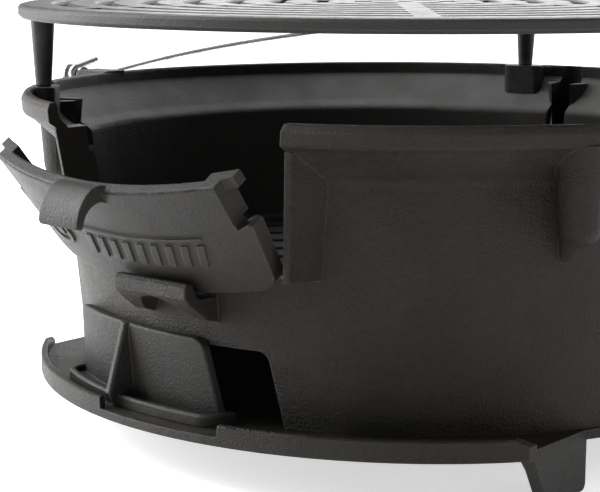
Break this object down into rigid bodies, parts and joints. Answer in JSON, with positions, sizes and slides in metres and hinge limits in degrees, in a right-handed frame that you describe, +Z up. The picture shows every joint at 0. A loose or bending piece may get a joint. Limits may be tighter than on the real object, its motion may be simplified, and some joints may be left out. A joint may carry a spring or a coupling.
{
  "type": "hibachi grill",
  "caption": "Round cast iron hibachi: fire bowl on a footed ash tray, tilting fire door, draft slider, coal grate, legged cooking grate and wire bail.",
  "frame": {"origin": "on the ground at the fire bowl's vertical axis", "axes": "+Z up, the fire door faces -Y, +X to the right of somebody facing the door"},
  "size_m": [0.413, 0.4359, 0.1905],
  "materials": {
    "seasoned_iron": "seasoned sand-cast iron, satin with fine grain",
    "grate_iron": "seasoned cast iron with rubbed bar tops",
    "leg_iron": "smooth seasoned iron",
    "plated_wire": "bright plated wire",
    "zinc_steel": "dull zinc plated steel"
  },
  "bodies": {
    "base": {"base_tray": "seasoned_iron", "fire_bowl": "seasoned_iron", "bowl_screws": "zinc_steel", "screw_washers": "zinc_steel", "screw_nuts": "zinc_steel", "bail_stud_left": "zinc_steel", "bail_stud_right": "zinc_steel"},
    "door": {"fire_door": "seasoned_iron"},
    "slider": {"draft_slider": "seasoned_iron"},
    "coal_grate": {"coal_grate": "seasoned_iron"},
    "cooking_grate": {"cooking_grate": "grate_iron", "grate_leg_left": "leg_iron", "grate_leg_right": "leg_iron", "grate_leg_back": "leg_iron"},
    "bail": {"bail_wire": "plated_wire"}
  },
  "joints": [
    {"name": "door_tilt", "type": "hinge", "parent": "base", "child": "door", "pos_m": [0, -0.1545, 0.0833], "axis": [-1, 0, 0], "range_deg": [0, 12]},
    {"name": "draft_slide", "type": "hinge", "parent": "base", "child": "slider", "pos_m": [0, 0, 0.03], "axis": [0, 0, 1], "range_deg": [-26, 11.5]},
    {"name": "coal_lift", "type": "slide", "parent": "base", "child": "coal_grate", "axis": [0, 0, 1], "range_m": [0, 0.06]},
    {"name": "grate_lift", "type": "slide", "parent": "base", "child": "cooking_grate", "axis": [0, 0, 1], "range_m": [0, 0.08]},
    {"name": "bail_swing", "type": "hinge", "parent": "base", "child": "bail", "pos_m": [0, -0.02, 0.1485], "axis": [1, 0, 0], "range_deg": [0, 165]}
  ]
}
